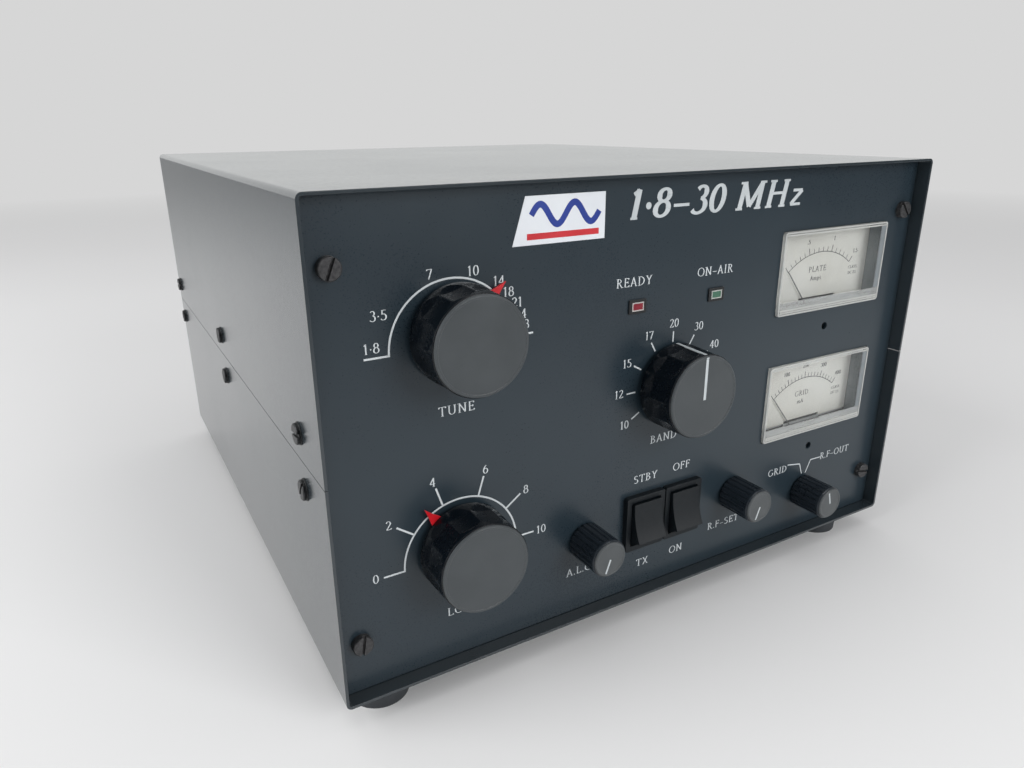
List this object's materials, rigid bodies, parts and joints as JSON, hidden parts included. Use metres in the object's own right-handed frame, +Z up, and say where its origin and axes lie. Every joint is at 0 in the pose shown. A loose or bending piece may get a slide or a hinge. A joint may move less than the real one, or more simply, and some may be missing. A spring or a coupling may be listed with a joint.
{
  "type": "linear amplifier",
  "caption": "Desktop radio-frequency power amplifier in a dark painted two-shell steel case, with fluted tuning knobs, rocker switches and two panel meters.",
  "frame": {"origin": "on the surface the feet stand on, at the centre of the overall length and width", "axes": "+Z up, -Y towards the front panel, +X to the right seen from the front"},
  "size_m": [0.334, 0.3964, 0.214],
  "materials": {
    "case_paint": "semi-gloss dark blue-grey enamel with a faint texture",
    "panel_paint": "satin dark blue-grey enamel",
    "chassis_metal": "mill finish",
    "black_screw": "black oxide",
    "foot_rubber": "matt black",
    "knob_black": "polished black",
    "knob_cap_grey": "satin grey",
    "small_cap_grey": "satin grey",
    "pointer_red": "bright red",
    "switch_black": "smooth black",
    "meter_clear": "clear acrylic",
    "meter_black": "moulded black",
    "dial_white": "printed warm white",
    "needle_black": "black paint",
    "lamp_black": "moulded black",
    "lamp_red": "translucent red",
    "lamp_green": "translucent green",
    "shaft_steel": "plain steel",
    "vane_metal": "bright",
    "nickel": "nickel plate",
    "brass_metal": "plain brass",
    "coil_copper": "enamelled copper wire",
    "ceramic": "white ceramic",
    "valve_glass": "clear glass",
    "winding_tape": "taped winding",
    "board_green": "glass-fibre laminate",
    "can_sleeve": "shrink sleeve",
    "relay_case": "moulded",
    "fan_black": "moulded black",
    "connector_black": "moulded black"
  },
  "bodies": {
    "cabinet": {"upper_cover": "case_paint", "lower_cover": "case_paint", "front_panel": "panel_paint", "rear_panel": "panel_paint", "feet": "foot_rubber", "chassis_frame": "chassis_metal", "base_tray": "chassis_metal", "capacitor_bracket": "chassis_metal", "valve_deck": "chassis_metal", "cover_screws": "black_screw", "panel_screws": "black_screw", "shaft_bushes": "brass_metal", "control_bodies": "shaft_steel", "tune_stator": "vane_metal", "load_stator": "vane_metal", "band_switch_body": "ceramic", "switch_housings": "switch_black", "meter_lenses": "meter_clear", "meter_cases": "meter_black", "meter_dials": "dial_white", "lamp_bezels": "lamp_black", "ready_lamp": "lamp_red", "on_air_lamp": "lamp_green", "valves": "valve_glass", "valve_sockets": "ceramic", "rf_coils": "coil_copper", "power_transformer": "winding_tape", "circuit_boards": "board_green", "reservoir_capacitors": "can_sleeve", "relays": "relay_case", "fan_frame": "fan_black", "fan_guard": "nickel", "coax_sockets": "nickel", "phono_sockets": "brass_metal", "fuse_holders": "connector_black", "mains_inlet": "connector_black", "inlet_blades": "nickel", "earth_terminal": "brass_metal"},
    "tune_control": {"tune_knob": "knob_black", "tune_knob_cap": "knob_cap_grey", "tune_pointer": "pointer_red", "tune_rotor": "vane_metal"},
    "load_control": {"load_knob": "knob_black", "load_knob_cap": "knob_cap_grey", "load_pointer": "pointer_red", "load_rotor": "vane_metal"},
    "band_control": {"band_knob": "knob_black", "band_knob_cap": "knob_cap_grey", "band_switch_rotor": "shaft_steel"},
    "alc_control": {"alc_knob": "knob_black", "alc_knob_cap": "small_cap_grey"},
    "rf_set_control": {"rf_set_knob": "knob_black", "rf_set_knob_cap": "small_cap_grey"},
    "meter_select_control": {"meter_select_knob": "knob_black", "meter_select_knob_cap": "small_cap_grey"},
    "standby_switch": {"standby_rocker": "switch_black"},
    "power_switch": {"power_rocker": "switch_black"},
    "plate_pointer": {"plate_needle": "needle_black"},
    "grid_pointer": {"grid_needle": "needle_black"},
    "fan_wheel": {"fan_rotor": "fan_black"}
  },
  "joints": [
    {"name": "tune_turn", "type": "hinge", "parent": "cabinet", "child": "tune_control", "pos_m": [-0.1079, -0.1758, 0.1587], "axis": [0, -1, 0], "range_deg": [-41, 139]},
    {"name": "load_turn", "type": "hinge", "parent": "cabinet", "child": "load_control", "pos_m": [-0.1084, -0.1758, 0.0674], "axis": [0, -1, 0], "range_deg": [-128, 52]},
    {"name": "band_turn", "type": "hinge", "parent": "cabinet", "child": "band_control", "pos_m": [0.0013, -0.1758, 0.1186], "axis": [0, -1, 0], "range_deg": [-120, 120]},
    {"name": "alc_turn", "type": "hinge", "parent": "cabinet", "child": "alc_control", "pos_m": [-0.0454, -0.1758, 0.05], "axis": [0, -1, 0], "range_deg": [-280, 0]},
    {"name": "rf_set_turn", "type": "hinge", "parent": "cabinet", "child": "rf_set_control", "pos_m": [0.048, -0.1758, 0.05], "axis": [0, -1, 0], "range_deg": [-280, 0]},
    {"name": "meter_select_turn", "type": "hinge", "parent": "cabinet", "child": "meter_select_control", "pos_m": [0.1035, -0.1758, 0.0365], "axis": [0, -1, 0], "range_deg": [-30, 0]},
    {"name": "standby_rock", "type": "hinge", "parent": "cabinet", "child": "standby_switch", "pos_m": [-0.0117, -0.175, 0.0513], "axis": [1, 0, 0], "range_deg": [0, 27]},
    {"name": "power_rock", "type": "hinge", "parent": "cabinet", "child": "power_switch", "pos_m": [0.0119, -0.175, 0.0513], "axis": [1, 0, 0], "range_deg": [0, 27]},
    {"name": "plate_needle_swing", "type": "hinge", "parent": "cabinet", "child": "plate_pointer", "pos_m": [0.1053, -0.1688, 0.1317], "axis": [0, -1, 0], "range_deg": [-78, 0], "stiffness_Nm_per_rad": 0.001, "springref_deg": 5.73},
    {"name": "grid_needle_swing", "type": "hinge", "parent": "cabinet", "child": "grid_pointer", "pos_m": [0.1053, -0.1688, 0.0633], "axis": [0, -1, 0], "range_deg": [-78, 0], "stiffness_Nm_per_rad": 0.001, "springref_deg": 5.73},
    {"name": "fan_spin", "type": "hinge", "parent": "cabinet", "child": "fan_wheel", "pos_m": [-0.084, 0.1782, 0.122], "axis": [0, -1, 0], "continuous": true}
  ]
}
